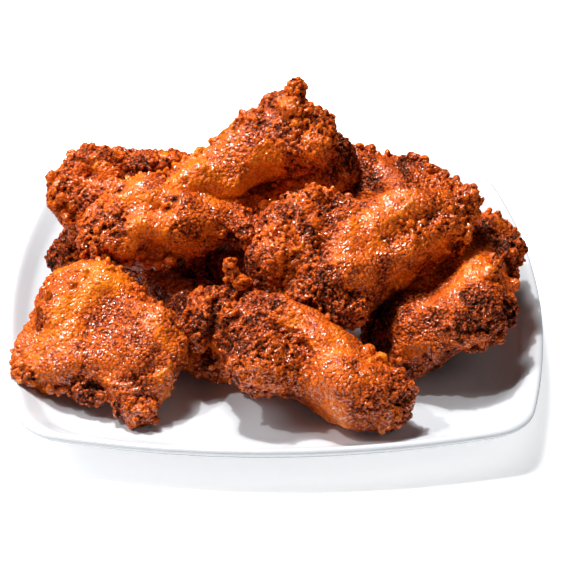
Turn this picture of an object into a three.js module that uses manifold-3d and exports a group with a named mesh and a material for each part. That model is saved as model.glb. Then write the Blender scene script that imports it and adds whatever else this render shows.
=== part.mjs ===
// A serving of breaded, deep-fried chicken wings heaped on a square coupe plate of white porcelain.
// Units are millimetres, +Z is up, and the origin lies under the middle of the plate's foot.
//
// Each wing is one closed solid, drawn as a swept body: a backbone runs along the wing's own X, and at even
// steps along it the half-widths to the left (+Y) and right (-Y) and the half-thickness (Z) are given.
// A wing that lies on others is pressed to their shape, with CONTACT_GAP left between the two crusts.

import * as THREE from "three";
import { mergeVertices } from "three/addons/utils/BufferGeometryUtils.js";
import Module from "manifold-3d";

const wasm = await Module();
wasm.setup();

// ---- driving dimensions ----------------------------------------------------------------------------------

const PLATE_SIDE = 216; // across the flats, rim to rim
const PLATE_SIDE_BOW = 9.5; // how far the middle of each side stands out past its corners
const PLATE_CORNER_RADIUS = 21;
const CORNER_GROWTH = 0.6; // how much rounder the corners get for each millimetre inwards
const CORNER_MOST = 0.66; // the largest share of an outline's half-width that its corner radius takes
const RIM_HEIGHT = 19; // top of the rim above the table
const WELL_HEIGHT = 7.5; // eating surface above the table
const RIM_EDGE = 3.6; // thickness of the rounded rim
const FOOT_INSET = 40; // from the rim to the outside of the foot
const FOOT_WIDTH = 5;
const FOOT_RECESS = 1.8; // hollow inside the foot

const CONTACT_GAP = 0.35; // between two pieces that lie against each other
const WING_STEPS = 16; // rings along a wing
const WING_SIDES = 18; // corners of a wing's section
const SECTION_POWER = 0.86; // 1 gives an oval section, less a boxier one
const LUMP_DEPTH = 1.1; // of the broad lumps in a wing's surface

const BREADING = { color: 0xb4551c, roughness: 0.42, metalness: 0 };
const GLAZE = { color: 0xf2f2f1, roughness: 0.12, metalness: 0 };

// ---- the plate -------------------------------------------------------------------------------------------

// The plate's outline at a distance inside its rim: four bowed sides joined by round corners.
function plateOutline(inset, sideSteps = 7, cornerSteps = 4) {
  const half = PLATE_SIDE / 2 - inset;
  const sideBow = (PLATE_SIDE_BOW * half) / (PLATE_SIDE / 2);
  const cornerRadius = Math.min(PLATE_CORNER_RADIUS + CORNER_GROWTH * inset, CORNER_MOST * half);
  const corner = half - sideBow - cornerRadius;
  const bowRadius = (corner ** 2 + sideBow ** 2) / (2 * sideBow);
  const halfAngle = Math.asin(corner / bowRadius);
  const bowCentre = corner + sideBow - bowRadius;
  const quarter = [];
  for (let i = 0; i <= sideSteps; i++) {
    const a = halfAngle * ((2 * i) / sideSteps - 1);
    const r = bowRadius + cornerRadius;
    quarter.push(new THREE.Vector2(bowCentre + r * Math.cos(a), r * Math.sin(a)));
  }
  for (let i = 1; i < cornerSteps; i++) {
    const a = halfAngle + ((Math.PI / 2 - 2 * halfAngle) * i) / cornerSteps;
    quarter.push(new THREE.Vector2(corner + cornerRadius * Math.cos(a), corner + cornerRadius * Math.sin(a)));
  }
  const origin = new THREE.Vector2();
  return [0, 1, 2, 3].flatMap((turn) =>
    quarter.map((p) => p.clone().rotateAround(origin, (turn * Math.PI) / 2)),
  );
}

// A closed body through outlines that all have the same number of points, with a pole at each end.
function bodyThroughRings(rings, firstPole, lastPole) {
  const points = [firstPole, ...rings.flat(), lastPole];
  const count = rings[0].length;
  const at = (ring, i) => 1 + ring * count + (i % count);
  const faces = [];
  for (let i = 0; i < count; i++) {
    faces.push(0, at(0, i + 1), at(0, i));
    for (let ring = 0; ring + 1 < rings.length; ring++) {
      faces.push(at(ring, i), at(ring, i + 1), at(ring + 1, i + 1));
      faces.push(at(ring, i), at(ring + 1, i + 1), at(ring + 1, i));
    }
    faces.push(points.length - 1, at(rings.length - 1, i), at(rings.length - 1, i + 1));
  }
  const geometry = new THREE.BufferGeometry().setFromPoints(points);
  geometry.setIndex(faces);
  return geometry;
}

function plateGeometry() {
  const footInside = FOOT_INSET + FOOT_WIDTH;
  const edge = RIM_EDGE / 2;
  const profile = [
    [footInside + 3, FOOT_RECESS],
    [footInside, 0],
    [FOOT_INSET, 0],
    [FOOT_INSET - 2.5, 2.6],
    [22, 4.4],
    [10, 8.6],
    [3.2, RIM_HEIGHT - RIM_EDGE - 1.6],
    [0.5, RIM_HEIGHT - RIM_EDGE * 0.75],
    [0, RIM_HEIGHT - edge],
    [0.5, RIM_HEIGHT - RIM_EDGE * 0.2],
    [edge, RIM_HEIGHT],
    [RIM_EDGE, RIM_HEIGHT - 1],
    [9, RIM_HEIGHT - 6.5],
    [15, WELL_HEIGHT + 2],
    [22, WELL_HEIGHT + 0.4],
    [34, WELL_HEIGHT],
  ];
  const rings = profile.map(([inset, z]) => plateOutline(inset).map((p) => new THREE.Vector3(p.x, p.y, z)));
  return bodyThroughRings(rings, new THREE.Vector3(0, 0, FOOT_RECESS), new THREE.Vector3(0, 0, WELL_HEIGHT));
}

// ---- the wings -------------------------------------------------------------------------------------------

// Every wing: its length, how blunt its ends are, half-widths to the left and right and half-thickness at
// even steps from one end to the other, how much its backbone is bowed [sideways, upwards], the seed of its
// lumps, where its middle lies, and how it is turned in degrees: rolled about its length, pitched nose down,
// then headed round +Z.
const WINGS = [
  {
    name: "wing_flat_front_left",
    length: 66,
    blunt: 9,
    left: [23, 26, 26, 25, 21, 14, 6],
    right: [31, 29, 26, 27, 31, 34, 30],
    thick: [8, 11, 12, 12, 13, 12, 9],
    bow: [0, 2],
    seed: 1,
    at: [-65, -44, 27.5],
    turn: [33, 3, -18],
  },
  {
    name: "wing_right",
    length: 88,
    blunt: 5,
    left: [18, 26, 27, 25, 24, 21, 14],
    right: [18, 30, 36, 35, 27, 21, 12],
    thick: [11, 14, 15, 16, 17, 16, 12],
    bow: [0, 2],
    seed: 2,
    at: [68, -20, 28.5],
    turn: [-30, -14, 56],
  },
  {
    name: "wing_centre_front",
    length: 74,
    blunt: 5,
    left: [11, 16, 17, 16, 14, 13, 11],
    right: [11, 16, 17, 16, 14, 13, 11],
    thick: [8, 10, 11, 11, 11, 10, 8],
    bow: [0, 0],
    seed: 3,
    at: [-28, -26, 18],
    turn: [0, 0, 122],
  },
  {
    name: "wing_left_under",
    length: 66,
    blunt: 5,
    left: [12, 16, 17, 16, 14, 13, 11],
    right: [12, 16, 17, 16, 14, 13, 11],
    thick: [10, 12, 13, 13, 12, 11, 9],
    bow: [0, 0],
    seed: 4,
    at: [-60, 19, 19.5],
    turn: [0, 0, -20],
  },
  {
    name: "wing_centre_back",
    length: 88,
    blunt: 5,
    left: [11, 15, 17, 17, 18, 18, 13],
    right: [11, 15, 17, 17, 18, 18, 13],
    thick: [9, 11, 13, 15, 16, 16, 12],
    bow: [0, 0],
    seed: 5,
    at: [-3, 25, 24],
    turn: [0, 3, 25],
  },
  {
    name: "wing_front",
    length: 96,
    blunt: 6,
    left: [9, 13, 15, 15, 15, 15, 13],
    right: [8, 13, 21, 20, 15, 16, 15],
    thick: [8, 11, 15, 15, 15, 14, 12],
    bow: [0, 3],
    seed: 6,
    at: [8, -57, 26.5],
    turn: [25, 10, -34],
  },
  {
    name: "wing_middle_right",
    length: 90,
    blunt: 5,
    left: [14, 20, 23, 19, 15, 14, 12],
    right: [17, 26, 33, 27, 20, 17, 14],
    thick: [12, 15, 17, 16, 15, 14, 12],
    bow: [0, 3],
    seed: 7,
    at: [34, -18, 53],
    turn: [35, -8, 8],
  },
  {
    name: "wing_middle_left",
    length: 84,
    blunt: 4,
    left: [13, 17, 17, 15, 14, 13, 10],
    right: [13, 18, 18, 16, 14, 13, 10],
    thick: [11, 14, 15, 14, 12, 11, 9],
    bow: [0, 3],
    seed: 8,
    at: [-35, -3, 52],
    turn: [20, 0, 2],
  },
  {
    name: "wing_back_left",
    length: 80,
    blunt: 5,
    left: [14, 18, 19, 17, 15, 13, 10],
    right: [14, 18, 19, 17, 15, 13, 10],
    thick: [12, 15, 16, 14, 12, 11, 9],
    bow: [0, 3],
    seed: 9,
    at: [-52, 30, 46.5],
    turn: [20, 7, 14],
  },
  {
    name: "wing_back_right",
    length: 78,
    blunt: 5,
    left: [13, 18, 19, 18, 18, 17, 12],
    right: [13, 18, 19, 18, 18, 17, 12],
    thick: [12, 14, 14, 13, 12, 11, 8],
    bow: [0, 3],
    seed: 10,
    at: [46, 32, 39.5],
    turn: [25, 10, -25],
  },
  {
    name: "wing_back_top",
    length: 62,
    blunt: 5,
    left: [12, 15, 16, 16, 16, 16, 13],
    right: [12, 15, 16, 16, 16, 16, 13],
    thick: [10, 12, 13, 13, 13, 13, 11],
    bow: [0, 3],
    seed: 12,
    at: [8, 24, 50],
    turn: [0, -28, 25],
  },
  {
    name: "wing_top",
    length: 80,
    blunt: 5,
    left: [8, 10, 10, 11, 14, 17, 12],
    right: [8, 10, 10, 13, 19, 20, 13],
    thick: [8, 9, 10, 12, 15, 17, 12],
    bow: [0, 2],
    seed: 11,
    at: [-11, 13, 70],
    turn: [0, -16, 25],
  },
];

// A smooth curve through values given at even steps, read at u from 0 to 1.
function along(values, u) {
  const curve = new THREE.SplineCurve(values.map((v, i) => new THREE.Vector2(i, v)));
  return curve.getPoint(u).y;
}

// Broad lumps of the meat and crust under a point: three slow waves that differ from wing to wing.
function lump(p, seed) {
  return (
    Math.sin(p.x * 0.13 + seed * 1.7) * Math.cos(p.y * 0.17 + seed * 2.3) +
    Math.sin(p.y * 0.21 - p.z * 0.19 + seed * 3.1) * 0.6 +
    Math.cos(p.z * 0.23 + p.x * 0.19 + seed * 0.9) * 0.5
  );
}

// One wing in its own frame, grown all round by a margin.
function wingGeometry(wing, grown = 0) {
  const half = wing.length / 2 + grown;
  const signedPower = (v, power) => Math.sign(v) * Math.abs(v) ** power;
  const point = (polar, turn) => {
    const station = -Math.cos(polar);
    const u = (station + 1) / 2;
    const cap = Math.sqrt(1 - Math.abs(station) ** wing.blunt);
    const width = (Math.cos(turn) > 0 ? along(wing.left, u) : along(wing.right, u)) + grown;
    const thick = along(wing.thick, u) + grown;
    const p = new THREE.Vector3(
      station * half,
      width * cap * signedPower(Math.cos(turn), SECTION_POWER),
      thick * cap * signedPower(Math.sin(turn), SECTION_POWER),
    );
    const out = p.clone().setX(0).normalize();
    p.addScaledVector(out, LUMP_DEPTH * cap * lump(p, wing.seed));
    const bow = 1 - station ** 2;
    p.y += wing.bow[0] * bow;
    p.z += wing.bow[1] * bow;
    return p;
  };
  const rings = [];
  for (let i = 1; i < WING_STEPS; i++) {
    const polar = (Math.PI * i) / WING_STEPS;
    const ring = [];
    for (let k = 0; k < WING_SIDES; k++) ring.push(point(polar, (2 * Math.PI * k) / WING_SIDES));
    rings.push(ring);
  }
  return bodyThroughRings(rings, new THREE.Vector3(-half, 0, 0), new THREE.Vector3(half, 0, 0));
}

function placeOf(wing) {
  const [roll, pitch, heading] = wing.turn.map(THREE.MathUtils.degToRad);
  const rotation = new THREE.Euler(roll, pitch, heading, "ZYX");
  return new THREE.Matrix4().compose(
    new THREE.Vector3(...wing.at),
    new THREE.Quaternion().setFromEuler(rotation),
    new THREE.Vector3(1, 1, 1),
  );
}

// ---- solids ----------------------------------------------------------------------------------------------

function solidOf(geometry) {
  const bare = new THREE.BufferGeometry().setAttribute("position", geometry.getAttribute("position"));
  bare.setIndex(geometry.getIndex());
  const merged = mergeVertices(bare, 1e-4);
  return new wasm.Manifold(
    new wasm.Mesh({
      numProp: 3,
      vertProperties: merged.getAttribute("position").array,
      triVerts: new Uint32Array(merged.getIndex().array),
    }),
  );
}

function geometryOf(solid) {
  const mesh = solid.getMesh();
  return new THREE.BufferGeometry()
    .setAttribute("position", new THREE.BufferAttribute(mesh.vertProperties, 3))
    .setIndex(new THREE.BufferAttribute(mesh.triVerts, 1));
}

// ---- the serving -----------------------------------------------------------------------------------------

const serving = new THREE.Group();

function addPiece(name, geometry, look) {
  geometry.computeVertexNormals();
  const mesh = new THREE.Mesh(geometry, new THREE.MeshStandardMaterial(look));
  mesh.name = name;
  serving.add(mesh);
}

addPiece("plate", plateGeometry(), GLAZE);

// The wings are laid down in the order of the table, and what a wing lies on is cut out of it.
const beneath = [solidOf(plateGeometry().translate(0, 0, CONTACT_GAP))];
for (const wing of WINGS) {
  const place = placeOf(wing);
  const whole = solidOf(wingGeometry(wing).applyMatrix4(place));
  const pressed = beneath.reduce((body, under) => body.subtract(under), whole);
  const bodies = pressed.decompose().sort((a, b) => b.volume() - a.volume());
  addPiece(wing.name, geometryOf(bodies[0]), BREADING);
  beneath.push(solidOf(wingGeometry(wing, CONTACT_GAP).applyMatrix4(place)));
}

export default serving;
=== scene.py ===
"""The looks of a serving of breaded, deep-fried chicken wings on a square coupe plate.

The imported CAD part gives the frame: metres, +Z up, the origin on the table under the middle of the plate.
Sizes of the food and the plate are millimetres, and one method turns them to metres when a mesh is made.
The studio's lights and camera are in metres.
"""

import logging
import math
from dataclasses import dataclass
from enum import Enum

import bpy
import numpy as np
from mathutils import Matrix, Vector
from numpy.typing import NDArray


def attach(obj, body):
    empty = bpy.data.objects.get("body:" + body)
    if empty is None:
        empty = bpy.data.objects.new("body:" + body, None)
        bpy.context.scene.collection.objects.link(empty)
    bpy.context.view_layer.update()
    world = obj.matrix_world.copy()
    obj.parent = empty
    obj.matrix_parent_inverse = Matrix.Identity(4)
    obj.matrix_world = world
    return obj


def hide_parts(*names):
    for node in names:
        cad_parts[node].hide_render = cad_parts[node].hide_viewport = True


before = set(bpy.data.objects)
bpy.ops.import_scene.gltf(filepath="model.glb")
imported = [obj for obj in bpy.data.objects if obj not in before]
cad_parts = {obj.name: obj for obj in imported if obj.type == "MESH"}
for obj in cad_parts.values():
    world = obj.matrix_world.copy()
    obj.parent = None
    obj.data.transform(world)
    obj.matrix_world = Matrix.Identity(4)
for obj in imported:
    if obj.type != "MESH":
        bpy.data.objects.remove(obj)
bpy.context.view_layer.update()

LOG = logging.getLogger("serving")
MM = 0.001

Numbers = NDArray[np.float64]
Faces = NDArray[np.int64]
Value = bpy.types.NodeSocket | float
Triple = tuple[float, float, float]
Seven = tuple[float, float, float, float, float, float, float]


# ---- random patterns in space ----------------------------------------------------------------------------


def cell_numbers(cells: Faces, seed: int, count: int) -> Numbers:
    """Even random numbers from 0 to 1 that belong to whole-number cells of space.

    A cell's three numbers are multiplied by large odd numbers and joined by exclusive-or. Shifts and two
    more products mix the bits, and each further number mixes the one before it again.

    Args:
        cells: whole-number coordinates, one row for each cell.
        seed: which pattern.
        count: how many numbers each cell gets.

    Returns:
        One row for each cell.
    """
    whole = cells.astype(np.int64).astype(np.uint32)
    mixed = whole[:, 0] * np.uint32(73856093) ^ whole[:, 1] * np.uint32(19349663)
    mixed ^= whole[:, 2] * np.uint32(83492791) ^ np.uint32((seed * 2654435761) % 2**32)
    numbers = np.empty((len(whole), count))
    for column in range(count):
        mixed = mixed + np.uint32(0x9E3779B9)
        mixed = (mixed ^ (mixed >> np.uint32(16))) * np.uint32(0x7FEB352D)
        mixed = (mixed ^ (mixed >> np.uint32(15))) * np.uint32(0x846CA68B)
        mixed = mixed ^ (mixed >> np.uint32(16))
        numbers[:, column] = mixed / 2.0**32
    return numbers


def block(reach: tuple[int, ...]) -> list[Faces]:
    """Every whole-number offset whose three coordinates are taken from reach."""
    return [np.array([x, y, z]) for x in reach for y in reach for z in reach]


def soft_noise(points: Numbers, size: float, seed: int, octaves: int = 1) -> Numbers:
    """Smooth noise about 0, mostly within -1 to 1.

    The corners of a cubic lattice hold random values, blended by 3t^2 - 2t^3 along each axis. Each further
    octave is half as large across and adds half as much.

    Args:
        points: where it is read, in millimetres.
        size: the lattice step of the broadest octave, in millimetres.
        seed: which pattern.
        octaves: how many sizes are added.

    Returns:
        One value for each point.
    """
    total = np.zeros(len(points))
    for octave in range(octaves):
        scaled = points * 2.0**octave / size
        base = np.floor(scaled).astype(np.int64)
        part = scaled - base
        smooth = part * part * (3 - 2 * part)
        for corner in block((0, 1)):
            weight = np.prod(np.where(corner == 1, smooth, 1 - smooth), axis=1)
            value = cell_numbers(base + corner, seed + 31 * octave, 1)[:, 0]
            total += weight * (2 * value - 1) * 0.5**octave
    return total * 1.6


def beads(points: Numbers, size: float, seed: int) -> tuple[Numbers, Numbers]:
    """Packed round beads: how high the surface of the topmost bead stands over a point.

    Each cell of a cubic lattice holds one bead at a random place with a random radius r. At a distance d
    from its centre a bead's height is the root of r^2 - d^2, and the highest of the 27 nearest cells wins.

    Args:
        points: where it is read, in millimetres.
        size: the lattice step, in millimetres.
        seed: which pattern.

    Returns:
        The height from 0 to about 1, and the winning bead's own random number.
    """
    scaled = points / size
    base = np.floor(scaled).astype(np.int64)
    height = np.zeros(len(points))
    tone = np.full(len(points), 0.5)
    for offset in block((-1, 0, 1)):
        cell = base + offset
        number = cell_numbers(cell, seed, 5)
        away = scaled - cell - number[:, :3]
        radius = 0.5 + 0.45 * number[:, 3]
        rise = np.sqrt(np.maximum(radius**2 - np.sum(away * away, axis=1), 0))
        wins = rise > height
        height = np.where(wins, rise, height)
        tone = np.where(wins, number[:, 4], tone)
    return height, tone


def turn_about(axis: int, degrees: float) -> Numbers:
    """The matrix that turns points round one axis: 0 for X, 1 for Y or 2 for Z."""
    cosine, sine = math.cos(math.radians(degrees)), math.sin(math.radians(degrees))
    first, second = (axis + 1) % 3, (axis + 2) % 3
    matrix = np.eye(3)
    matrix[first, first] = matrix[second, second] = cosine
    matrix[second, first], matrix[first, second] = sine, -sine
    return matrix


def step_between(low: float, high: float, value: Numbers) -> Numbers:
    """0 below low and 1 above high, with 3t^2 - 2t^3 between them."""
    t = np.clip((value - low) / (high - low), 0, 1)
    return t * t * (3 - 2 * t)


def along(values: tuple[float, ...], u: Numbers) -> Numbers:
    """A uniform Catmull-Rom curve through values at even steps, read at u from 0 to 1.

    Between the values b and c, with a before and d after them, the cubic has the slopes (c - a) / 2 and
    (d - b) / 2 at its ends. The first and last values are repeated outside.
    """
    table = np.array(values, float)
    last = len(table) - 1
    place = np.clip(u, 0, 1) * last
    left = np.minimum(np.floor(place).astype(int), last - 1)
    t = place - left
    a, b = table[np.maximum(left - 1, 0)], table[left]
    c, d = table[left + 1], table[np.minimum(left + 2, last)]
    slope_b, slope_c = (c - a) / 2, (d - b) / 2
    cubic, square = 2 * b - 2 * c + slope_b + slope_c, 3 * c - 3 * b - 2 * slope_b - slope_c
    return (cubic * t + square) * t * t + slope_b * t + b


# ---- meshes ----------------------------------------------------------------------------------------------


@dataclass
class Skin:
    """A closed surface of four-cornered faces, in millimetres."""

    points: Numbers
    quads: Faces

    def normals(self) -> Numbers:
        """Unit normals at the points: summed cross products of the diagonals of the faces round each."""
        a, b, c, d = (self.points[self.quads[:, k]] for k in range(4))
        across = np.cross(c - a, d - b)
        total = np.empty_like(self.points)
        for axis in range(3):
            weights = np.repeat(across[:, axis], 4)
            total[:, axis] = np.bincount(self.quads.ravel(), weights, len(self.points))
        return total / np.maximum(np.linalg.norm(total, axis=1, keepdims=True), 1e-12)

    def pushed(self, distance: Numbers) -> "Skin":
        """The same surface, moved along its normals by a distance at each point."""
        return Skin(self.points + self.normals() * distance[:, None], self.quads)

    def largest(self) -> "Skin":
        """The largest connected body of the skin, without any stray crumbs that touch nothing.

        Every point starts with its own number, and takes the least number among its faces' corners, and that
        number's number, until nothing changes.
        """
        label = np.arange(len(self.points))
        while True:
            least = label[self.quads].min(axis=1)
            lower = label.copy()
            for corner in range(4):
                np.minimum.at(lower, self.quads[:, corner], least)
            lower = lower[lower]
            if np.array_equal(lower, label):
                break
            label = lower
        biggest = np.bincount(label[self.quads[:, 0]], minlength=len(label)).argmax()
        kept = label == biggest
        number = np.cumsum(kept) - 1
        return Skin(self.points[kept], number[self.quads[kept[self.quads[:, 0]]]])

    def eased(self, rounds: int) -> Numbers:
        """The points after each has moved to the mean of its neighbours along the edges, several times."""
        ends = np.concatenate([self.quads.ravel(), np.roll(self.quads, -1, axis=1).ravel()])
        others = np.concatenate([np.roll(self.quads, -1, axis=1).ravel(), self.quads.ravel()])
        count = np.maximum(np.bincount(ends, minlength=len(self.points)), 1)
        moved = self.points
        for _ in range(rounds):
            sums = [np.bincount(ends, moved[others, axis], len(moved)) for axis in range(3)]
            moved = np.stack(sums, axis=1) / count[:, None]
        return moved

    def mesh(self, name: str) -> bpy.types.Mesh:
        """A smooth-shaded mesh in metres."""
        mesh = bpy.data.meshes.new(name)
        mesh.from_pydata((self.points * MM).tolist(), [], self.quads.tolist())
        mesh.polygons.foreach_set("use_smooth", np.ones(len(mesh.polygons), bool))
        mesh.update()
        return mesh


def ring_faces(rings: int, sides: int) -> Faces:
    """Four-cornered faces of a tube whose points are stored ring after ring."""
    ring, side = np.meshgrid(np.arange(rings - 1), np.arange(sides), indexing="ij")
    here, beside = ring * sides + side, ring * sides + (side + 1) % sides
    return np.stack([here, beside, beside + sides, here + sides], axis=-1).reshape(-1, 4)


def closed_tube(rings: Numbers, low: Numbers, high: Numbers) -> Skin:
    """A tube of rings, closed by a fan of four-cornered faces round a point at each end.

    Args:
        rings: points by ring, side and axis, with an even number of sides.
        low: the point that closes the first ring.
        high: the point that closes the last ring.

    Returns:
        The skin.
    """
    count, sides = rings.shape[:2]
    even = np.arange(0, sides, 2)
    following = (even + 2) % sides
    point, top = np.full(len(even), count * sides), (count - 1) * sides
    first = np.stack([point, following, even + 1, even], axis=1)
    last = np.stack([point + 1, top + even, top + even + 1, top + following], axis=1)
    points = np.concatenate([rings.reshape(-1, 3), low[None], high[None]])
    return Skin(points, np.concatenate([ring_faces(count, sides), first, last]))


def balls(centres: Numbers, radii: Numbers, rings: int, sides: int) -> Skin:
    """Closed round lumps, as one skin of separate bodies.

    Latitude and longitude on the unit sphere, times the three radii, plus the centre. Each pole is closed by
    four-cornered faces across its ring.

    Args:
        centres: one row for each lump.
        radii: its half-sizes along X, Y and Z.
        rings: rings from pole to pole.
        sides: points in a ring, an even number.

    Returns:
        The skin.
    """
    polar = np.linspace(0.25 / rings, 1 - 0.25 / rings, rings) * np.pi
    around = np.arange(sides) * 2 * np.pi / sides
    flat = np.sin(polar)[:, None]
    upright = np.cos(polar)[:, None] + 0 * around
    unit = np.stack([flat * np.cos(around), flat * np.sin(around), upright], axis=-1).reshape(-1, 3)
    first = np.arange(0, sides - 2, 2)
    cap = np.stack([np.zeros_like(first), first + 1, first + 2, (first + 3) % sides], axis=1)
    quads = np.concatenate([ring_faces(rings, sides)[:, ::-1], cap, (rings - 1) * sides + cap[:, ::-1]])
    points = centres[:, None] + unit[None] * radii[:, None]
    faces = quads[None] + (np.arange(len(centres)) * len(unit))[:, None, None]
    return Skin(points.reshape(-1, 3), faces.reshape(-1, 4))


def new_piece(name: str, skin: Skin, material: bpy.types.Material | None = None) -> bpy.types.Object:
    """A linked object at the origin that shows the skin, in its material where it has one."""
    piece = bpy.data.objects.new(name, skin.mesh(name))
    bpy.context.scene.collection.objects.link(piece)
    if material:
        piece.data.materials.append(material)
    return piece


def add_attribute(mesh: bpy.types.Mesh, name: str, values: Numbers) -> None:
    """One number for each point of the mesh, for its material to read."""
    mesh.attributes.new(name, "FLOAT", "POINT").data.foreach_set("value", values.astype(np.float32))


# ---- materials -------------------------------------------------------------------------------------------


def linear(hex_colour: str) -> tuple[float, float, float, float]:
    """An sRGB hex colour as linear red, green and blue with full alpha."""
    channels = [int(hex_colour[i : i + 2], 16) / 255 for i in (1, 3, 5)]
    red, green, blue = (c / 12.92 if c <= 0.04045 else ((c + 0.055) / 1.055) ** 2.4 for c in channels)
    return red, green, blue, 1.0


def add_node(
    material: bpy.types.Material,
    kind: str,
    settings: dict[str, object] | None = None,
    inputs: dict[str | int, object] | None = None,
) -> bpy.types.Node:
    """Adds a shader node.

    Args:
        material: whose node tree it joins.
        kind: the node's Blender type.
        settings: its properties by name.
        inputs: its sockets by name or number, each a value or another node's output to link.

    Returns:
        The new node.
    """
    tree = material.node_tree
    node = tree.nodes.new(kind)
    for name, value in (settings or {}).items():
        setattr(node, name, value)
    for name, value in (inputs or {}).items():
        if isinstance(value, bpy.types.NodeSocket):
            tree.links.new(value, node.inputs[name])
        else:
            node.inputs[name].default_value = value
    return node


def empty_material(name: str) -> bpy.types.Material:
    """A material with an empty node tree."""
    material = bpy.data.materials.new(name)
    material.use_nodes = True
    material.node_tree.nodes.clear()
    return material


def finish_material(material: bpy.types.Material, shader: bpy.types.Node) -> bpy.types.Material:
    """Links the shader to the material's output."""
    add_node(material, "ShaderNodeOutputMaterial", inputs={"Surface": shader.outputs[0]})
    return material


def add_ramp(
    material: bpy.types.Material, factor: bpy.types.NodeSocket, colours: tuple[str, ...]
) -> bpy.types.NodeSocket:
    """The colour that a ramp through sRGB hex colours at even places from 0 to 1 gives at a factor."""
    node = add_node(material, "ShaderNodeValToRGB", inputs={"Fac": factor})
    elements = node.color_ramp.elements
    places = [number / (len(colours) - 1) for number in range(len(colours))]
    for place in places[2:]:
        elements.new(place)
    for element, place, colour in zip(elements, places, colours):
        element.position = place
        element.color = linear(colour)
    return node.outputs["Color"]


@dataclass(frozen=True)
class PorcelainGlaze:
    """White porcelain under a clear fired glaze: an even white, painted faintly cool to cancel the warm light
    that the food throws on it, with sharp soft reflections.
    """

    # faintly cool to cancel the warm light that the food throws back onto the plate
    body: str = "#d3d6da"
    roughness: float = 0.14
    ripple_mm: float = 22.0  # the glaze settles in waves this long
    ripple_rise_mm: float = 0.12  # their height, of which the bump takes a quarter

    def material(self) -> bpy.types.Material:
        """Builds the glaze."""
        material = empty_material("porcelain_glaze")
        place = add_node(material, "ShaderNodeTexCoord").outputs["Object"]
        ripple = add_node(
            material,
            "ShaderNodeTexNoise",
            inputs={"Vector": place, "Scale": 1000 / self.ripple_mm, "Detail": 2.0},
        )
        bump = add_node(
            material,
            "ShaderNodeBump",
            inputs={"Strength": 0.25, "Distance": self.ripple_rise_mm * MM, "Height": ripple.outputs["Fac"]},
        )
        shader = add_node(
            material,
            "ShaderNodeBsdfPrincipled",
            inputs={
                "Base Color": linear(self.body),
                "Roughness": self.roughness,
                "IOR": 1.5,
                "Normal": bump.outputs["Normal"],
            },
        )
        return finish_material(material, shader)


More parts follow.
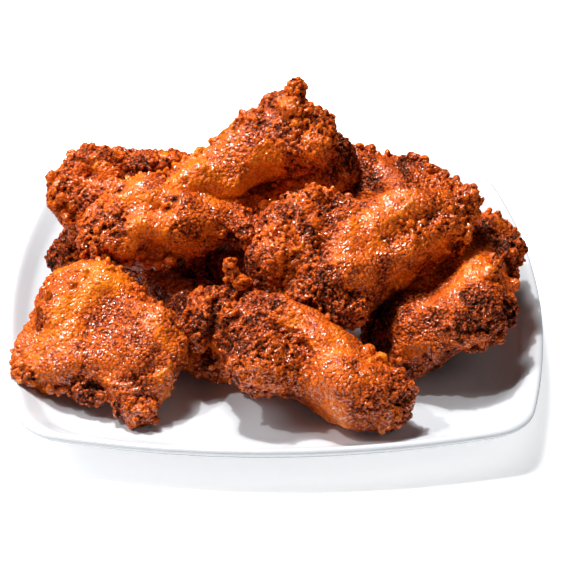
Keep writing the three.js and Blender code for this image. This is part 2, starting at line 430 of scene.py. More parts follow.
@dataclass(frozen=True)
class FriedBreading:
    """Seasoned flour crust fried in oil: painted shade makes it dark in its pits, rust on its crags, orange
    to gold where thin.

    Oil wets some of its beads, and those carry small sharp glints: it is greasy, without a veil of gloss.
    """

    # the ramp's darkest end, reached mostly where painted shade darkens hollows and creases
    pits: str = "#2a0a03"
    umber: str = "#621c08"
    rust: str = "#a83d0b"
    amber: str = "#d65808"
    orange: str = "#ec6c08"
    ochre: str = "#f5820e"
    warm_gloss: str = "#ffc090"  # the fat in the crust tints its own soft gloss
    roughness: float = 0.4
    oil_roughness: float = 0.1
    oil_ior: float = 2.0  # oil's 1.47 raised, because the glints are drawn larger than real ones
    bead_mm: float = 1.15  # the crust's flour beads
    stray_mm: float = 0.6  # how far grit bends the beads' outlines
    grit_mm: float = 0.75  # flour grit, drawn a little coarse so that it shows
    freckle_mm: float = 2.6  # spice and darker flour in the crust
    film_mm: float = 1.0  # ripples of the oily film
    bump_mm: float = 1.0  # how far a height of 1 stands out
    skin_share: float = 0.6  # how strongly beads show on the thin golden skin
    # painted light on a bead's top and painted shade in the crease between beads
    bead_light_and_crease_shade: tuple[float, float] = (0.16, -0.22)  # added to the tone on a bead and in a crease
    lot_tone: float = 0.12  # how far a whole bead is lighter or darker than the rest
    # the grit's own speckle, with painted shade in its low places and painted light on its high ones
    grit_speckle_and_shade: float = 0.22
    freckle_tone: float = 0.12

    def material(self) -> bpy.types.Material:
        """Builds the crust: colour by the piece's own tone and gold attributes, with beads and grit over it.

        A bead's height falls with the square of the distance from its middle. Beads stand high on the crust
        and low on the thin golden skin. Painted shade darkens the creases between them and the grit's low
        places, and painted light brightens the beads' tops.

        Returns:
            The material.
        """
        material = empty_material("fried_breading")

        def product(first: Value, second: Value) -> Value:
            """The two values multiplied."""
            return add_node(
                material, "ShaderNodeMath", {"operation": "MULTIPLY"}, {0: first, 1: second}
            ).outputs[0]

        def sum_of(first: Value, second: Value, by: Value = 1.0) -> Value:
            """The second value times a factor, added to the first."""
            return add_node(
                material, "ShaderNodeMath", {"operation": "MULTIPLY_ADD"}, {0: second, 1: by, 2: first}
            ).outputs[0]

        def ranged(value: Value, low: float, high: float, start: float, end: float) -> Value:
            """The value's range from low to high stretched to start at one number and end at another."""
            ends = {"Value": value, "From Min": low, "From Max": high, "To Min": start, "To Max": end}
            return add_node(material, "ShaderNodeMapRange", inputs=ends).outputs["Result"]

        def speckle(size: float, detail: float) -> bpy.types.Node:
            """Noise with grains of a size in millimetres."""
            scale = {"Vector": place, "Scale": 1000 / size, "Detail": detail, "Roughness": 0.55}
            return add_node(material, "ShaderNodeTexNoise", inputs=scale)

        def bump(height: Value) -> bpy.types.NodeSocket:
            """The normal of a height."""
            depth = {"Strength": 1.0, "Distance": self.bump_mm * MM, "Height": height}
            return add_node(material, "ShaderNodeBump", inputs=depth).outputs["Normal"]

        place = add_node(material, "ShaderNodeTexCoord").outputs["Object"]
        # the tone carries the fry's own colour together with painted shade in hollows and painted light on
        # raised places
        tone = add_node(material, "ShaderNodeAttribute", {"attribute_name": "tone"}).outputs["Fac"]
        gold = add_node(material, "ShaderNodeAttribute", {"attribute_name": "gold"}).outputs["Fac"]
        grit_noise = speckle(self.grit_mm, 2.0)
        grit = grit_noise.outputs["Fac"]
        freckle = speckle(self.freckle_mm, 2.0).outputs["Fac"]
        film = speckle(self.film_mm, 1.0).outputs["Fac"]
        strayed = add_node(
            material,
            "ShaderNodeVectorMath",
            {"operation": "MULTIPLY_ADD"},
            {0: grit_noise.outputs["Color"], 1: (self.stray_mm * MM,) * 3, 2: place},
        ).outputs["Vector"]
        cells = add_node(
            material, "ShaderNodeTexVoronoi", inputs={"Vector": strayed, "Scale": 1000 / self.bead_mm}
        )
        bead = cells.outputs["Distance"]
        lot = add_node(material, "ShaderNodeSeparateColor", inputs={0: cells.outputs["Color"]})
        fall = product(bead, bead)
        stand = ranged(gold, 0.0, 1.0, 1.0, self.skin_share)
        # painted light on the beads' tops and painted shade in the creases between them
        toned = sum_of(tone, ranged(fall, 0.02, 0.35, *self.bead_light_and_crease_shade), stand)
        # painted shade in the grit's low places and painted light on its high ones, over its own speckle
        toned = sum_of(toned, ranged(grit, 0.3, 0.7, -self.grit_speckle_and_shade, self.grit_speckle_and_shade))
        toned = sum_of(toned, ranged(freckle, 0.3, 0.7, -self.freckle_tone, self.freckle_tone))
        toned = sum_of(toned, ranged(lot.outputs["Red"], 0.0, 1.0, -self.lot_tone, self.lot_tone), stand)
        wet_beads = ranged(lot.outputs["Green"], 0.4, 0.55, 0.0, 1.0)
        oily = product(ranged(toned, 0.3, 0.6, 0.0, 0.9), wet_beads)
        crust = add_ramp(material, toned, (self.pits, self.umber, self.rust, self.amber, self.orange))
        skin = add_ramp(material, toned, (self.umber, self.rust, self.amber, self.orange, self.ochre))
        mixed = add_node(material, "ShaderNodeMix", {"data_type": "RGBA"}, {0: gold, 6: crust, 7: skin})
        hollow = product(fall, stand)
        shader = add_node(
            material,
            "ShaderNodeBsdfPrincipled",
            inputs={
                "Base Color": mixed.outputs[2],
                "Roughness": self.roughness,
                "IOR": 1.5,
                "Specular IOR Level": 0.4,
                "Specular Tint": linear(self.warm_gloss),
                "Subsurface Weight": 0.1,
                "Subsurface Radius": (0.001, 0.0004, 0.0002),
                "Subsurface Scale": 1.0,
                "Coat Weight": sum_of(oily, gold, 0.08),
                "Coat Roughness": self.oil_roughness,
                "Coat IOR": self.oil_ior,
                "Normal": bump(sum_of(product(hollow, -0.9), grit, 0.35)),
                "Coat Normal": bump(sum_of(product(hollow, -0.45), film, 0.4)),
            },
        )
        return finish_material(material, shader)


@dataclass(frozen=True)
class StudioPaper:
    """A sweep of matt white paper under the plate."""

    colour: str = "#ffffff"
    glow: float = 0.45  # the paper is lit from behind as well, so that its shadows stay pale

    def material(self) -> bpy.types.Material:
        """Builds the paper."""
        material = empty_material("studio_paper")
        shader = add_node(
            material,
            "ShaderNodeBsdfPrincipled",
            inputs={
                "Base Color": linear(self.colour),
                "Roughness": 0.9,
                "Specular IOR Level": 0.1,
                "Emission Color": linear(self.colour),
                "Emission Strength": self.glow,
            },
        )
        return finish_material(material, shader)


# ---- the plate -------------------------------------------------------------------------------------------


@dataclass
class Plate:
    """A square coupe plate with bowed sides: a flat well that sweeps up to a rounded rim."""

    side: float = 215.6
    side_bow: float = 9.5
    corner_radius: float = 21.0
    corner_growth: float = 0.6  # how much the corners' radius grows for each millimetre inwards
    corner_most: float = 0.66  # the largest share of an outline's half-width that its corner radius takes
    rim_height: float = 19.0
    rim_edge: float = 3.6
    well_height: float = 7.5
    foot_inset: float = 40.0
    foot_width: float = 5.0
    foot_recess: float = 1.8
    profile_step: float = 0.7
    sides: int = 360
    side_share: float = 0.62  # the share of those steps round that lie on the bowed sides
    closing: Triple = (0.66, 0.33, 0.04)  # shares of its last outline, towards the point in the middle

    def profile(self) -> Numbers:
        """Distance inside the rim and height, from the middle of the underside over the rim to the well.

        Straight runs between the corners of the section, cut into even steps, and each point replaced by the
        mean of itself and its two neighbours on each side, which rounds the corners.

        Returns:
            One row of inset and height for each step.
        """
        foot_inside = self.foot_inset + self.foot_width
        edge = self.rim_edge / 2
        corners = np.array(
            [
                [foot_inside + 30, self.foot_recess],
                [foot_inside + 3, self.foot_recess],
                [foot_inside, 0],
                [self.foot_inset, 0],
                [self.foot_inset - 2.5, 2.6],
                [22, 4.4],
                [10, 8.6],
                [3.2, self.rim_height - self.rim_edge - 1.6],
                [0.5, self.rim_height - self.rim_edge * 0.75],
                [0, self.rim_height - edge],
                [0.5, self.rim_height - self.rim_edge * 0.2],
                [edge, self.rim_height],
                [self.rim_edge, self.rim_height - 1],
                [9, self.rim_height - 6.5],
                [15, self.well_height + 2],
                [22, self.well_height + 0.4],
                [34, self.well_height],
                [75, self.well_height],
            ]
        )
        lengths = np.concatenate([[0], np.cumsum(np.linalg.norm(np.diff(corners, axis=0), axis=1))])
        places = np.linspace(0, lengths[-1], round(lengths[-1] / self.profile_step))
        even = np.stack([np.interp(places, lengths, corners[:, k]) for k in range(2)], axis=1)
        padded = np.pad(even, ((2, 2), (0, 0)), "edge")
        return np.stack([np.convolve(padded[:, k], np.full(5, 0.2), "valid") for k in range(2)], axis=1)

    def outline(self, inset: Numbers) -> Numbers:
        """The plate's outline at each distance inside its rim.

        A quarter is an arc of large radius for the bowed side and an arc of the corner's radius, which touch
        where both point the same way. The quarter is turned by 0, 90, 180 and 270 degrees.

        Args:
            inset: distances inside the rim.

        Returns:
            X and Y for each inset and each of the plate's steps round.
        """
        half = (self.side / 2 - inset)[:, None]
        bow = self.side_bow * half / (self.side / 2)
        radius = np.minimum(self.corner_radius + self.corner_growth * inset[:, None], self.corner_most * half)
        corner = half - bow - radius
        bow_radius = (corner**2 + bow**2) / (2 * bow)
        half_angle = np.arcsin(corner / bow_radius)
        steps = self.sides // 4
        on_side = round(steps * self.side_share)
        side_angle = half_angle * np.linspace(-1, 1, on_side)
        turn = np.linspace(0, 1, steps - on_side + 2)[1:-1]
        corner_angle = half_angle + (np.pi / 2 - 2 * half_angle) * turn
        side_x = corner + bow - bow_radius + (bow_radius + radius) * np.cos(side_angle)
        side_y = (bow_radius + radius) * np.sin(side_angle)
        x = np.concatenate([side_x, corner + radius * np.cos(corner_angle)], axis=1)
        y = np.concatenate([side_y, corner + radius * np.sin(corner_angle)], axis=1)
        quarters = [(x, y), (-y, x), (-x, -y), (y, -x)]
        return np.stack([np.concatenate([q[k] for q in quarters], axis=1) for k in range(2)], axis=-1)

    def build(self, glaze: bpy.types.Material) -> bpy.types.Object:
        """The plate: its profile carried round its outlines, closed by smaller ones and a fan at each end."""
        profile = self.profile()
        flat = self.outline(profile[:, 0])
        height = np.broadcast_to(profile[:, 1][:, None, None], flat.shape[:2] + (1,))
        rings = np.concatenate([flat, height], axis=-1)
        share = np.array(self.closing)[:, None, None]
        shrink = np.concatenate([share, share, np.ones_like(share)], axis=-1)
        rings = np.concatenate([(rings[:1] * shrink)[::-1], rings, rings[-1:] * shrink])
        low, high = (np.array([0, 0, ring[0, 2]]) for ring in (rings[0], rings[-1]))
        return new_piece("coupe_plate", closed_tube(rings, low, high), glaze)


# ---- the wings -------------------------------------------------------------------------------------------


class DonenessAndLight(Enum):
    """How deeply a wing has browned, partly painted light that makes well-lit wings lighter and shaded ones
    darker: what is added to its tone.
    """

    GOLDEN = 0.10
    AMBER = 0.0
    BROWN = -0.10


@dataclass(frozen=True)
class Fold:
    """A knob, ridge or dent: the crust is pushed out by rise near the line from start to end."""

    start: Triple
    end: Triple
    reach: float
    rise: float

    def push(self, points: Numbers) -> Numbers:
        """The push at each point: rise times e to the minus square of its distance over reach."""
        a, b = np.array(self.start, float), np.array(self.end, float)
        line = b - a
        t = np.clip((points - a) @ line / max(line @ line, 1e-9), 0, 1)
        away = np.linalg.norm(points - a - t[:, None] * line, axis=1)
        return self.rise * np.exp(-((away / self.reach) ** 2))


@dataclass(frozen=True)
class Knob:
    """A clot of crust stuck on a wing: its middle in the serving's frame and its three half-sizes."""

    at: Triple
    half: Triple


@dataclass(frozen=True)
class Fringe:
    """A ragged row of crumbs along the line from start to end."""

    start: Triple
    end: Triple
    count: int
    radius: float = 1.6
    scatter: float = 1.6


@dataclass(frozen=True)
class BeadLayer:
    """One size of bead that stands out of the crust."""

    size: float
    stray: float  # how far noise bends the beads' outlines
    on_skin: float  # how far they stand out on bare skin
    on_crags: float  # how much further on the craggiest crust


@dataclass
class Wing:
    """One piece of wing: a swept body with folds and knobs, crumbs stuck on it, and beads all over."""

    name: str
    length: float
    blunt: float  # how square its ends are: 2 for round ones
    left: Seven  # half-widths and half-thickness at even steps along it
    right: Seven
    thick: Seven
    bow: tuple[float, float]  # how far its backbone bends towards its own +Y and +Z
    seed: int
    at: Triple
    turn: Triple  # roll, pitch and heading in degrees
    crust: Seven  # how craggy it is at even steps along it, from 0 for bare skin to 1
    # how browned the wing is, partly painted light or shade over the whole wing
    doneness_and_light: DonenessAndLight = DonenessAndLight.AMBER
    folds: tuple[Fold, ...] = ()
    knobs: tuple[Knob, ...] = ()
    fringes: tuple[Fringe, ...] = ()
    section_power: float = 0.86  # below 1 for a boxy section
    lump_depth: float = 1.1  # how far slow waves push it in and out
    swell: float = 1.9  # how far noise does
    rings: int = 72
    sides: int = 84
    candidates: int = 7000  # places that may get a crumb
    voxel: float = 0.46
    layers: tuple[BeadLayer, ...] = (
        BeadLayer(5.5, 1.6, 0.25, 1.2),
        BeadLayer(2.2, 0.6, 0.3, 0.55),
        BeadLayer(1.2, 0.3, 0.22, 0.35),
    )

    def turning(self) -> Numbers:
        """The matrix that rolls the wing about its length, pitches it nose down, then heads it round +Z."""
        roll, pitch, heading = self.turn
        return turn_about(2, heading) @ turn_about(1, pitch) @ turn_about(0, roll)

    def placed(self, own: Numbers) -> Numbers:
        """Points of the wing's own frame as points of the serving."""
        return own @ self.turning().T + np.array(self.at)

    def surface(self, station: Numbers, angle: Numbers) -> Numbers:
        """Points on the body at stations from -1 to 1 along it and angles round it.

        Y is the left or right half-width and Z the half-thickness, each times the section's boxy cosine or
        sine and the end cap, the root of 1 - |station|^blunt. Three slow waves push it in and out, and the
        backbone bows by 1 - station^2.

        Args:
            station: one value for each point.
            angle: one value for each point, in radians.

        Returns:
            Points in the wing's own frame.
        """
        u = (station + 1) / 2
        cap = np.sqrt(np.maximum(1 - np.abs(station) ** self.blunt, 0))
        width = np.where(np.cos(angle) > 0, along(self.left, u), along(self.right, u))
        boxy = [np.sign(v) * np.abs(v) ** self.section_power for v in (np.cos(angle), np.sin(angle))]
        y, z = width * cap * boxy[0], along(self.thick, u) * cap * boxy[1]
        x = station * self.length / 2
        seed = self.seed
        wave = np.sin(x * 0.13 + seed * 1.7) * np.cos(y * 0.17 + seed * 2.3)
        wave += (
            np.sin(y * 0.21 - z * 0.19 + seed * 3.1) * 0.6
            + np.cos(z * 0.23 + x * 0.19 + seed * 0.9) * 0.5
        )
        radius = np.maximum(np.hypot(y, z), 1e-9)
        y, z = y + self.lump_depth * cap * wave * y / radius, z + self.lump_depth * cap * wave * z / radius
        arch = 1 - station**2
        return np.stack([x, y + self.bow[0] * arch, z + self.bow[1] * arch], axis=1)

    def body(self) -> Skin:
        """The bare body, closed by a point at each end, with its folds pushed out."""
        polar = np.linspace(0, np.pi, self.rings)
        tip = 0.004  # the end rings are this small, in radians from the end
        polar[0], polar[-1] = tip, np.pi - tip
        around = np.arange(self.sides) * 2 * np.pi / self.sides
        station, angle = np.meshgrid(-np.cos(polar), around, indexing="ij")
        points = self.placed(self.surface(station.ravel(), angle.ravel()))
        rings = points.reshape(self.rings, self.sides, 3)
        low, high = rings[[0, -1]].mean(axis=1)
        skin = closed_tube(rings, low, high)
        for fold in self.folds:
            skin = skin.pushed(fold.push(skin.points))
        return skin.pushed(self.swell * soft_noise(skin.points, 17, self.seed, 3) - 0.4)

    def craggy(self, points: Numbers) -> Numbers:
        """How craggy the crust is at each point, from 0 to 1: its table along the wing plus noise."""
        own = (points - np.array(self.at)) @ self.turning()
        table = along(self.crust, own[:, 0] / self.length + 0.5)
        patches = 0.34 * soft_noise(points, 13, self.seed + 50, 3)
        crust = step_between(0.25, 0.8, table + patches)
        for knob in self.knobs:
            depth = np.linalg.norm((points - np.array(knob.at)) / np.array(knob.half), axis=1)
            crust = np.maximum(crust, 1 - step_between(1.1, 1.6, depth))
        return crust

    def clots(self) -> list[Skin]:
        """The wing's knobs, as round lumps roughened by noise."""
        if not self.knobs:
            return []
        centres = np.array([knob.at for knob in self.knobs], float)
        halves = np.array([knob.half for knob in self.knobs], float)
        lumps = balls(centres, halves, 20, 28)
        return [lumps.pushed(0.9 * soft_noise(lumps.points, 6, self.seed + 11, 3))]

    def crumbs(self, parts: list[Skin]) -> Skin:
        """Crumbs of crust, as small closed round lumps that sit in the surface of the parts.

        Candidates are drawn on the parts' points and kept by chance against the cragginess there. A fringe
        scatters its own along its line, and each moves to the nearest point of the parts. Every crumb is then
        sunk into the surface by a random share of its radius.

        Args:
            parts: the closed surfaces that they stick to.

        Returns:
            All crumbs as one skin of separate closed lumps.
        """
        points = np.concatenate([part.points for part in parts])
        normals = np.concatenate([part.normals() for part in parts])
        draw = np.random.default_rng(self.seed)
        chosen = draw.choice(len(points), self.candidates)
        chance = 0.03 + 0.5 * self.craggy(points[chosen]) ** 1.5
        chosen = chosen[draw.random(self.candidates) < chance]
        radius = 0.5 + 1.2 * draw.random(len(chosen)) ** 3.0
        sink = draw.uniform(-0.7, 0.25, len(chosen))
        for fringe in self.fringes:
            share = np.linspace(0, 1, fringe.count)[:, None]
            line = np.array(fringe.start, float) * (1 - share) + np.array(fringe.end, float) * share
            line += draw.normal(0, fringe.scatter, (fringe.count, 3))
            gaps = np.linalg.norm(points[None] - line[:, None], axis=2)
            chosen = np.concatenate([chosen, gaps.argmin(axis=1)])
            radius = np.concatenate([radius, fringe.radius * draw.uniform(0.5, 1.3, fringe.count)])
            sink = np.concatenate([sink, draw.uniform(0.0, 0.8, fringe.count)])
        centres = points[chosen] + normals[chosen] * (radius * sink)[:, None]
        radii = radius[:, None] * draw.uniform(0.7, 1.3, (len(chosen), 3))
        return balls(centres, radii, 6, 8)

    def fused(self, parts: list[Skin]) -> Skin:
        """The closed parts as one skin, by Blender's voxel remesh at the wing's voxel size."""
        offsets = np.cumsum([0] + [len(part.points) for part in parts[:-1]])
        points = np.concatenate([part.points for part in parts])
        quads = np.concatenate([part.quads + offset for part, offset in zip(parts, offsets)])
        rough = new_piece("rough", Skin(points, quads))
        remesh = rough.modifiers.new("fuse", "REMESH")
        remesh.mode = "VOXEL"
        remesh.voxel_size = self.voxel * MM
        graph = bpy.context.evaluated_depsgraph_get()
        done = rough.evaluated_get(graph).to_mesh()
        co = np.empty(len(done.vertices) * 3)
        done.vertices.foreach_get("co", co)
        corners = np.empty(len(done.loops), np.int64)
        done.loops.foreach_get("vertex_index", corners)
        mesh = rough.data
        bpy.data.objects.remove(rough)
        bpy.data.meshes.remove(mesh)
        return Skin(co.reshape(-1, 3) / MM, corners.reshape(-1, 4))

    def build(self, breading: bpy.types.Material) -> bpy.types.Object:
        """The finished wing.

        The body, its knobs and its crumbs are fused, and then get beads of three sizes, each pushed out along
        the normals that the coarser ones left. The material reads two numbers at each point. Tone is how
        lightly it is fried together with painted shade and light: a sum of how far the point stands above the
        same surface eased a little and eased a lot, which paints shade into hollows and light onto raised
        places, how craggy it is, its bead's own number, two sizes of soft noise and how done the wing is,
        which is partly painted light too. Gold is where the crust is thin enough for the skin to show: soft
        noise less the cragginess.

        Args:
            breading: the crust's material.

        Returns:
            The piece.
        """
        parts = [self.body(), *self.clots()]
        skin = self.fused([*parts, self.crumbs(parts)]).largest()
        crag = self.craggy(skin.points)
        seed = self.seed * 7
        warp = np.stack([soft_noise(skin.points, 3.5, seed + k, 3) for k in range(3)], axis=1)
        tints = []
        for number, layer in enumerate(self.layers, 3):
            height, tint = beads(skin.points + warp * layer.stray, layer.size, seed + number)
            skin = skin.pushed((height - 0.5) * (layer.on_skin + layer.on_crags * crag))
            tints.append(tint)
        normals = skin.normals()
        # how far each point stands out of the surface round it, finely and broadly: the tone uses both as
        # painted shade in hollows and painted light on raised places
        rise = np.sum((skin.points - skin.eased(6)) * normals, axis=1)
        broad_shade_and_light = np.sum((skin.points - skin.eased(40)) * normals, axis=1)
        browned = soft_noise(skin.points, 17, self.seed + 90, 3)
        patchy = soft_noise(skin.points, 6, self.seed + 95, 2)
        # the relief terms paint shade into hollows and light onto raised places
        tone = 0.625 + 0.20 * browned + 0.5 * rise + 0.14 * broad_shade_and_light - 0.17 * crag + 0.12 * (tints[1] - 0.5)
        tone += 0.10 * patchy + self.doneness_and_light.value
        thin = soft_noise(skin.points, 16, self.seed + 140, 3) + 0.65
        gold = step_between(0.1, 1.0, thin - 1.1 * crag)
        piece = new_piece(self.name + "_crust", skin, breading)
        add_attribute(piece.data, "tone", np.clip(tone, 0, 1))
        add_attribute(piece.data, "gold", gold)
        LOG.info("%s: %d points", piece.name, len(skin.points))
        return piece


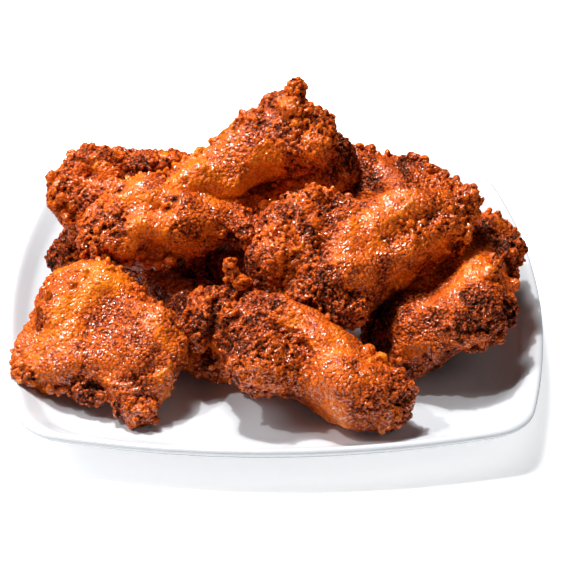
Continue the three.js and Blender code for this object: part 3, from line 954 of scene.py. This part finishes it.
def heap() -> list[Wing]:
    """The twelve wings in the order they were laid down."""
    return [
        Wing(
            "wing_flat_front_left", 66, 9,
            (23, 26, 26, 25, 21, 14, 6), (31, 29, 26, 27, 31, 34, 30), (8, 11, 12, 12, 13, 12, 9),
            (0, 2), 1, (-65, -44, 27.5), (33, 3, -18),
            crust=(0.5, 0.35, 0.25, 0.25, 0.3, 0.4, 0.6), doneness_and_light=DonenessAndLight.GOLDEN,
            folds=(
                Fold((-44, -50, 39), (-52, -68, 30), 4, 1.6),
                Fold((-36, -54, 31), (-44, -70, 24), 4, 1.8),
                Fold((-60, -52, 38), (-66, -66, 28), 5, -1.6),
                Fold((-88, -46, 36), (-74, -62, 27), 6, 1.5),
            ),
            knobs=(
                Knob((-96, -58, 20), (5, 5, 4)),
                Knob((-51, -75, 14), (6, 5, 5)),
                Knob((-72, -66, 17), (5, 4, 4)),
            ),
            fringes=(
                Fringe((-95, -60, 18), (-74, -66, 15), 16, 1.8),
                Fringe((-72, -68, 15), (-50, -79, 13), 20, 2.0),
                Fringe((-88, -38, 40), (-62, -28, 46), 14, 1.4),
                Fringe((-58, -30, 46), (-36, -46, 38), 14, 1.3),
            ),
        ),
        Wing(
            "wing_right", 88, 5,
            (18, 26, 27, 25, 24, 21, 14), (18, 30, 36, 35, 27, 21, 12), (11, 14, 15, 16, 17, 16, 12),
            (0, 2), 2, (68, -20, 28.5), (-30, -14, 56),
            crust=(0.5, 0.4, 0.35, 0.4, 0.5, 0.75, 0.9), doneness_and_light=DonenessAndLight.BROWN,
            folds=(Fold((66, -48, 46), (80, -30, 52), 6, 1.8), Fold((56, -42, 44), (66, -24, 50), 5, -1.8)),
            knobs=(
                Knob((83, -38.5, 51), (2.2, 2.2, 2.2)),
                Knob((93, -16, 48), (5, 6, 5)),
                Knob((88, -44, 38), (5, 6, 6)),
            ),
            fringes=(
                Fringe((98, -6, 44), (98, -30, 38), 18, 2.0),
                Fringe((96, -34, 36), (76, -56, 26), 18, 1.8),
                Fringe((84, 2, 50), (97, -4, 46), 10, 1.8),
            ),
        ),
        Wing(
            "wing_centre_front", 74, 5,
            (11, 16, 17, 16, 14, 13, 11), (11, 16, 17, 16, 14, 13, 11), (8, 10, 11, 11, 11, 10, 8),
            (0, 0), 3, (-28, -26, 18), (0, 0, 122),
            crust=(0.6, 0.5, 0.5, 0.5, 0.5, 0.6, 0.8), doneness_and_light=DonenessAndLight.BROWN,
        ),
        Wing(
            "wing_left_under", 66, 5,
            (12, 16, 17, 16, 14, 13, 11), (12, 16, 17, 16, 14, 13, 11), (10, 12, 13, 13, 12, 11, 9),
            (0, 0), 4, (-60, 19, 19.5), (0, 0, -20),
            crust=(0.9, 0.7, 0.5, 0.5, 0.5, 0.6, 0.7), doneness_and_light=DonenessAndLight.BROWN,
            knobs=(Knob((-88, 16, 25), (5, 5, 5)), Knob((-83, 12, 28), (4, 4, 4))),
        ),
        Wing(
            "wing_centre_back", 88, 5,
            (11, 15, 17, 17, 18, 18, 13), (11, 15, 17, 17, 18, 18, 13), (9, 11, 13, 15, 16, 16, 12),
            (0, 0), 5, (-3, 25, 24), (0, 3, 25),
            crust=(0.8, 0.5, 0.4, 0.3, 0.4, 0.5, 0.7),
        ),
        Wing(
            "wing_front", 96, 6,
            (9, 13, 15, 15, 15, 15, 13), (8, 13, 21, 20, 15, 16, 15), (8, 11, 15, 15, 15, 14, 12),
            (0, 3), 6, (8, -57, 26.5), (25, 10, -34),
            crust=(1.0, 0.8, 0.5, 0.12, 0.05, 0.15, 0.75),
            folds=(
                Fold((-8, -58, 45), (6, -68, 41), 4, -2.6),
                Fold((6, -68, 41), (17, -82, 30), 4, -2.2),
                Fold((0, -48, 46), (28, -66, 42), 5, 1.2),
                Fold((20, -76, 36), (40, -84, 26), 6, 1.0),
            ),
            knobs=(
                Knob((-4, -70, 31), (15, 10, 12)),
                Knob((-18, -53, 42.5), (3.6, 3.6, 3.6)),
                Knob((-28, -46, 36), (5, 5, 6)),
                Knob((-31, -49, 30), (4, 5, 6)),
                Knob((-17, -38, 51.5), (1.5, 1.5, 5)),
                Knob((-13, -39, 48), (2.4, 2.4, 2.6)),
                Knob((47, -78, 22), (5, 6, 6)),
            ),
            fringes=(
                Fringe((-28, -41, 42), (-10, -37, 47), 16, 1.8),
                Fringe((-30, -45, 38), (-30, -51, 28), 12, 1.8),
                Fringe((38, -62, 38), (50, -78, 26), 16, 1.8),
                Fringe((50, -80, 24), (42, -90, 15), 14, 1.8),
            ),
        ),
        Wing(
            "wing_middle_right", 90, 5,
            (14, 20, 23, 19, 15, 14, 12), (17, 26, 33, 27, 20, 17, 14), (12, 15, 17, 16, 15, 14, 12),
            (0, 3), 7, (34, -18, 53), (35, -8, 8),
            crust=(1.0, 0.9, 0.5, 0.15, 0.2, 0.5, 0.9),
            folds=(
                Fold((12, -14, 70), (10, -34, 61), 6, 3.4),
                Fold((24, -16, 72), (19, -38, 62), 3.6, -4.6),
                Fold((62, -17, 72), (39, -28, 68), 4, 1.8),
                Fold((64, -22, 69), (42, -34, 63), 4, -1.2),
                Fold((30, -42, 53), (56, -34, 56), 5, 1.4),
                Fold((14, -40, 50), (26, -46, 47), 4, -2.0),
            ),
            knobs=(
                Knob((25, -47, 40), (10, 7, 7)),
                Knob((9, -45, 42), (4, 4, 5)),
                Knob((2, -31, 53), (9, 8, 9)),
                Knob((75, -10, 67), (5, 5, 5)),
            ),
            fringes=(
                Fringe((8, -46, 40), (16, -48, 36), 14, 1.6),
                Fringe((70, -4, 70), (78, -16, 61), 16, 1.8),
                Fringe((78, -18, 60), (70, -28, 50), 14, 1.7),
                Fringe((66, -30, 48), (34, -48, 40), 16, 1.3),
                Fringe((6, -14, 70), (28, -6, 70), 12, 1.6),
            ),
        ),
        Wing(
            "wing_middle_left", 84, 4,
            (13, 17, 17, 15, 14, 13, 10), (13, 18, 18, 16, 14, 13, 10), (11, 14, 15, 14, 12, 11, 9),
            (0, 3), 8, (-35, -3, 52), (20, 0, 2),
            crust=(0.9, 0.6, 0.35, 0.3, 0.4, 0.6, 0.8), doneness_and_light=DonenessAndLight.GOLDEN,
            folds=(
                Fold((-14, 3, 66), (-6, -6, 61), 3, -2.2),
                Fold((-22, 4, 67), (-10, -4, 66), 4, 1.8),
                Fold((-49, -24, 54), (-44, -24, 50), 5, -3.0),
                Fold((-66, -2, 66), (-46, -4, 69), 5, 1.8),
                Fold((-38, -8, 68), (-36, -24, 54), 3.5, 2.2),
                Fold((-56, -14, 66), (-44, -14, 66), 4, -2.4),
            ),
            knobs=(
                Knob((-68, -15, 50), (9, 6, 8)),
                Knob((-36, -16, 59), (6, 5, 5)),
                Knob((-40, -11, 67), (2.6, 2.6, 2.6)),
            ),
            fringes=(
                Fringe((-76, -8, 58), (-66, -20, 46), 20, 2.0),
                Fringe((-64, -21, 45), (-40, -24, 44), 18, 1.8),
                Fringe((-56, 2, 68), (-28, 6, 69), 12, 1.2),
            ),
        ),
        Wing(
            "wing_back_left", 80, 5,
            (14, 18, 19, 17, 15, 13, 10), (14, 18, 19, 17, 15, 13, 10), (12, 15, 16, 14, 12, 11, 9),
            (0, 3), 9, (-52, 30, 46.5), (20, 7, 14),
            crust=(1.0, 0.9, 0.8, 0.7, 0.7, 0.7, 0.8), doneness_and_light=DonenessAndLight.GOLDEN,
            folds=(
                Fold((-74, 17, 64), (-70, 14, 62), 4, -3.0),
                Fold((-58, 28, 66), (-56, 20, 62), 4, -2.4),
                Fold((-58, 33, 66), (-42, 31, 63), 6, -3.2),
                Fold((-44, 26, 62), (-52, 17, 60), 5, -4.0),
                Fold((-74, 30, 67), (-68, 28, 67), 7, 1.8),
            ),
            knobs=(
                Knob((-51, 26, 61), (8, 6, 5)),
                Knob((-40, 30, 62), (3, 3, 3)),
                Knob((-86, 16, 55), (4, 4, 4)),
            ),
            fringes=(
                Fringe((-89, 24, 60), (-86, 12, 48), 16, 2.2),
                Fringe((-85, 11, 46), (-78, 8, 40), 12, 2.0),
                Fringe((-82, 32, 64), (-62, 34, 67), 12, 1.6),
            ),
        ),
        Wing(
            "wing_back_right", 78, 5,
            (13, 18, 19, 18, 18, 17, 12), (13, 18, 19, 18, 18, 17, 12), (12, 14, 14, 13, 12, 11, 8),
            (0, 3), 10, (46, 32, 39.5), (25, 10, -25),
            crust=(0.5, 0.2, 0.1, 0.2, 0.4, 0.6, 0.8), doneness_and_light=DonenessAndLight.BROWN,
            folds=(Fold((40, 36, 60), (52, 24, 54), 5, 1.6),),
            fringes=(
                Fringe((36, 44, 60), (56, 40, 56), 16, 1.8),
                Fringe((58, 38, 55), (78, 26, 46), 18, 1.8),
            ),
        ),
        Wing(
            "wing_back_top", 62, 5,
            (12, 15, 16, 16, 16, 16, 13), (12, 15, 16, 16, 16, 16, 13), (10, 12, 13, 13, 13, 13, 11),
            (0, 3), 12, (8, 24, 50), (0, -28, 25),
            crust=(0.5, 0.4, 0.4, 0.4, 0.5, 0.7, 0.8),
        ),
        Wing(
            "wing_top", 80, 5,
            (8, 10, 10, 11, 14, 17, 12), (8, 10, 10, 13, 19, 20, 13), (8, 9, 10, 12, 15, 17, 12),
            (0, 2), 11, (-11, 13, 70), (0, -16, 25),
            crust=(0.5, 0.2, 0.15, 0.3, 0.8, 1.0, 1.0), doneness_and_light=DonenessAndLight.GOLDEN,
            folds=(Fold((-30, 2, 73), (-8, 2, 79), 4, 1.4), Fold((2, 4, 80), (8, 4, 74), 4, -2.0)),
            knobs=(
                Knob((9, 20, 99.5), (3.6, 3.6, 4.4)),
                Knob((16, 6, 82), (6, 6, 7)),
                Knob((8, 16, 94), (6, 6, 4)),
            ),
            fringes=(
                Fringe((-44, 4, 72), (-22, 14, 80), 16, 1.4),
                Fringe((-20, 15, 81), (2, 22, 92), 14, 1.5),
                Fringe((20, 16, 90), (24, 14, 80), 10, 1.6),
            ),
        ),
    ]


# ---- the studio ------------------------------------------------------------------------------------------


@dataclass(frozen=True)
class SoftBox:
    """A square studio light: where it stands and what it faces in metres, its side, power and colour."""

    name: str
    at: Triple
    towards: Triple
    side: float
    watts: float
    colour: str = "#ffffff"
    glossy: bool = True  # whether it shows in reflections

    def hang(self) -> None:
        """Adds the light."""
        light = bpy.data.lights.new(self.name, "AREA")
        light.shape = "SQUARE"
        light.size = self.side
        light.energy = self.watts
        light.color = linear(self.colour)[:3]
        lamp = bpy.data.objects.new(self.name, light)
        lamp.location = self.at
        lamp.visible_glossy = self.glossy
        lamp.rotation_euler = (Vector(self.towards) - Vector(self.at)).to_track_quat("-Z", "Y").to_euler()
        bpy.context.scene.collection.objects.link(lamp)


@dataclass
class Studio:
    """White paper, soft light and the camera."""

    camera_distance: float = 0.9177
    camera_elevation: float = 33.73  # degrees
    camera_turn: float = -0.84  # degrees round from straight in front
    aim_height: float = 0.0174
    lens: float = 144.3  # on a 36 mm sensor
    shift: tuple[float, float] = (0.01473, 0.01766)
    surround: float = 0.025  # the strength of the even white light from all round
    boxes: tuple[SoftBox, ...] = (
        SoftBox("back_key", (-0.18, 0.36, 1.22), (0, 0, 0.03), 0.30, 11.7),
        SoftBox("back_spark", (-0.26, 0.32, 1.17), (0, 0, 0.03), 0.05, 9.5),
        SoftBox("left_soft", (-0.85, 0.05, 0.88), (0, 0, 0.03), 0.5, 4.5),
        SoftBox("left_spark", (-0.66, -0.05, 1.05), (0, 0, 0.03), 0.05, 5.5),
        SoftBox("right_soft", (0.70, -0.50, 0.90), (0, 0, 0.03), 0.6, 1.0, glossy=False),
    )

    def light(self) -> None:
        """Hangs the lights and sets an even white surround."""
        for box in self.boxes:
            box.hang()
        world = bpy.data.worlds.new("studio")
        world.use_nodes = True
        background = world.node_tree.nodes["Background"]
        background.inputs["Color"].default_value = linear("#ffffff")
        background.inputs["Strength"].default_value = self.surround
        bpy.context.scene.world = world
        world.cycles_visibility.glossy = False
        bpy.context.scene.view_settings.view_transform = "Standard"

    def lay_paper(self, paper: bpy.types.Material) -> None:
        """A flat round of paper just under the plate's foot, as rings about the middle."""
        radius, sides, height = np.array([0.001, 300, 1200, 4000]), 64, -0.05
        angle = np.arange(sides) * 2 * np.pi / sides
        x, y = (np.outer(radius, wave(angle)).ravel() for wave in (np.cos, np.sin))
        points = np.stack([x, y, np.full(len(x), height)], axis=1)
        skin = Skin(points, ring_faces(len(radius), sides)[:, ::-1])
        floor = new_piece("paper_floor", skin, paper)
        floor.visible_glossy = False

    def set_camera(self) -> None:
        """Puts the camera in front of the serving, looking down at the plate's middle."""
        data = bpy.data.cameras.new("camera")
        data.sensor_width = 36
        data.lens = self.lens
        data.shift_x, data.shift_y = self.shift
        data.clip_end = 20
        camera = bpy.data.objects.new("camera", data)
        up, turn = math.radians(self.camera_elevation), math.radians(self.camera_turn)
        flat, rise = self.camera_distance * math.cos(up), self.camera_distance * math.sin(up)
        aim = Vector((0, 0, self.aim_height))
        camera.location = aim + Vector((flat * math.sin(turn), -flat * math.cos(turn), rise))
        camera.rotation_euler = (aim - camera.location).to_track_quat("-Z", "Y").to_euler()
        bpy.context.scene.collection.objects.link(camera)
        bpy.context.scene.camera = camera


def main() -> None:
    """Builds the studio, the plate and the wings, hangs each piece on the root body and hides the CAD part
    that it stands for.
    """
    logging.basicConfig(level=logging.INFO)
    studio = Studio()
    studio.set_camera()
    studio.light()
    studio.lay_paper(StudioPaper().material())

    plate = Plate().build(PorcelainGlaze().material())
    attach(plate, "root")
    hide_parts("plate")

    breading = FriedBreading().material()
    for wing in heap():
        piece = wing.build(breading)
        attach(piece, "root")
        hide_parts(wing.name)


if __name__ == "__main__":
    main()
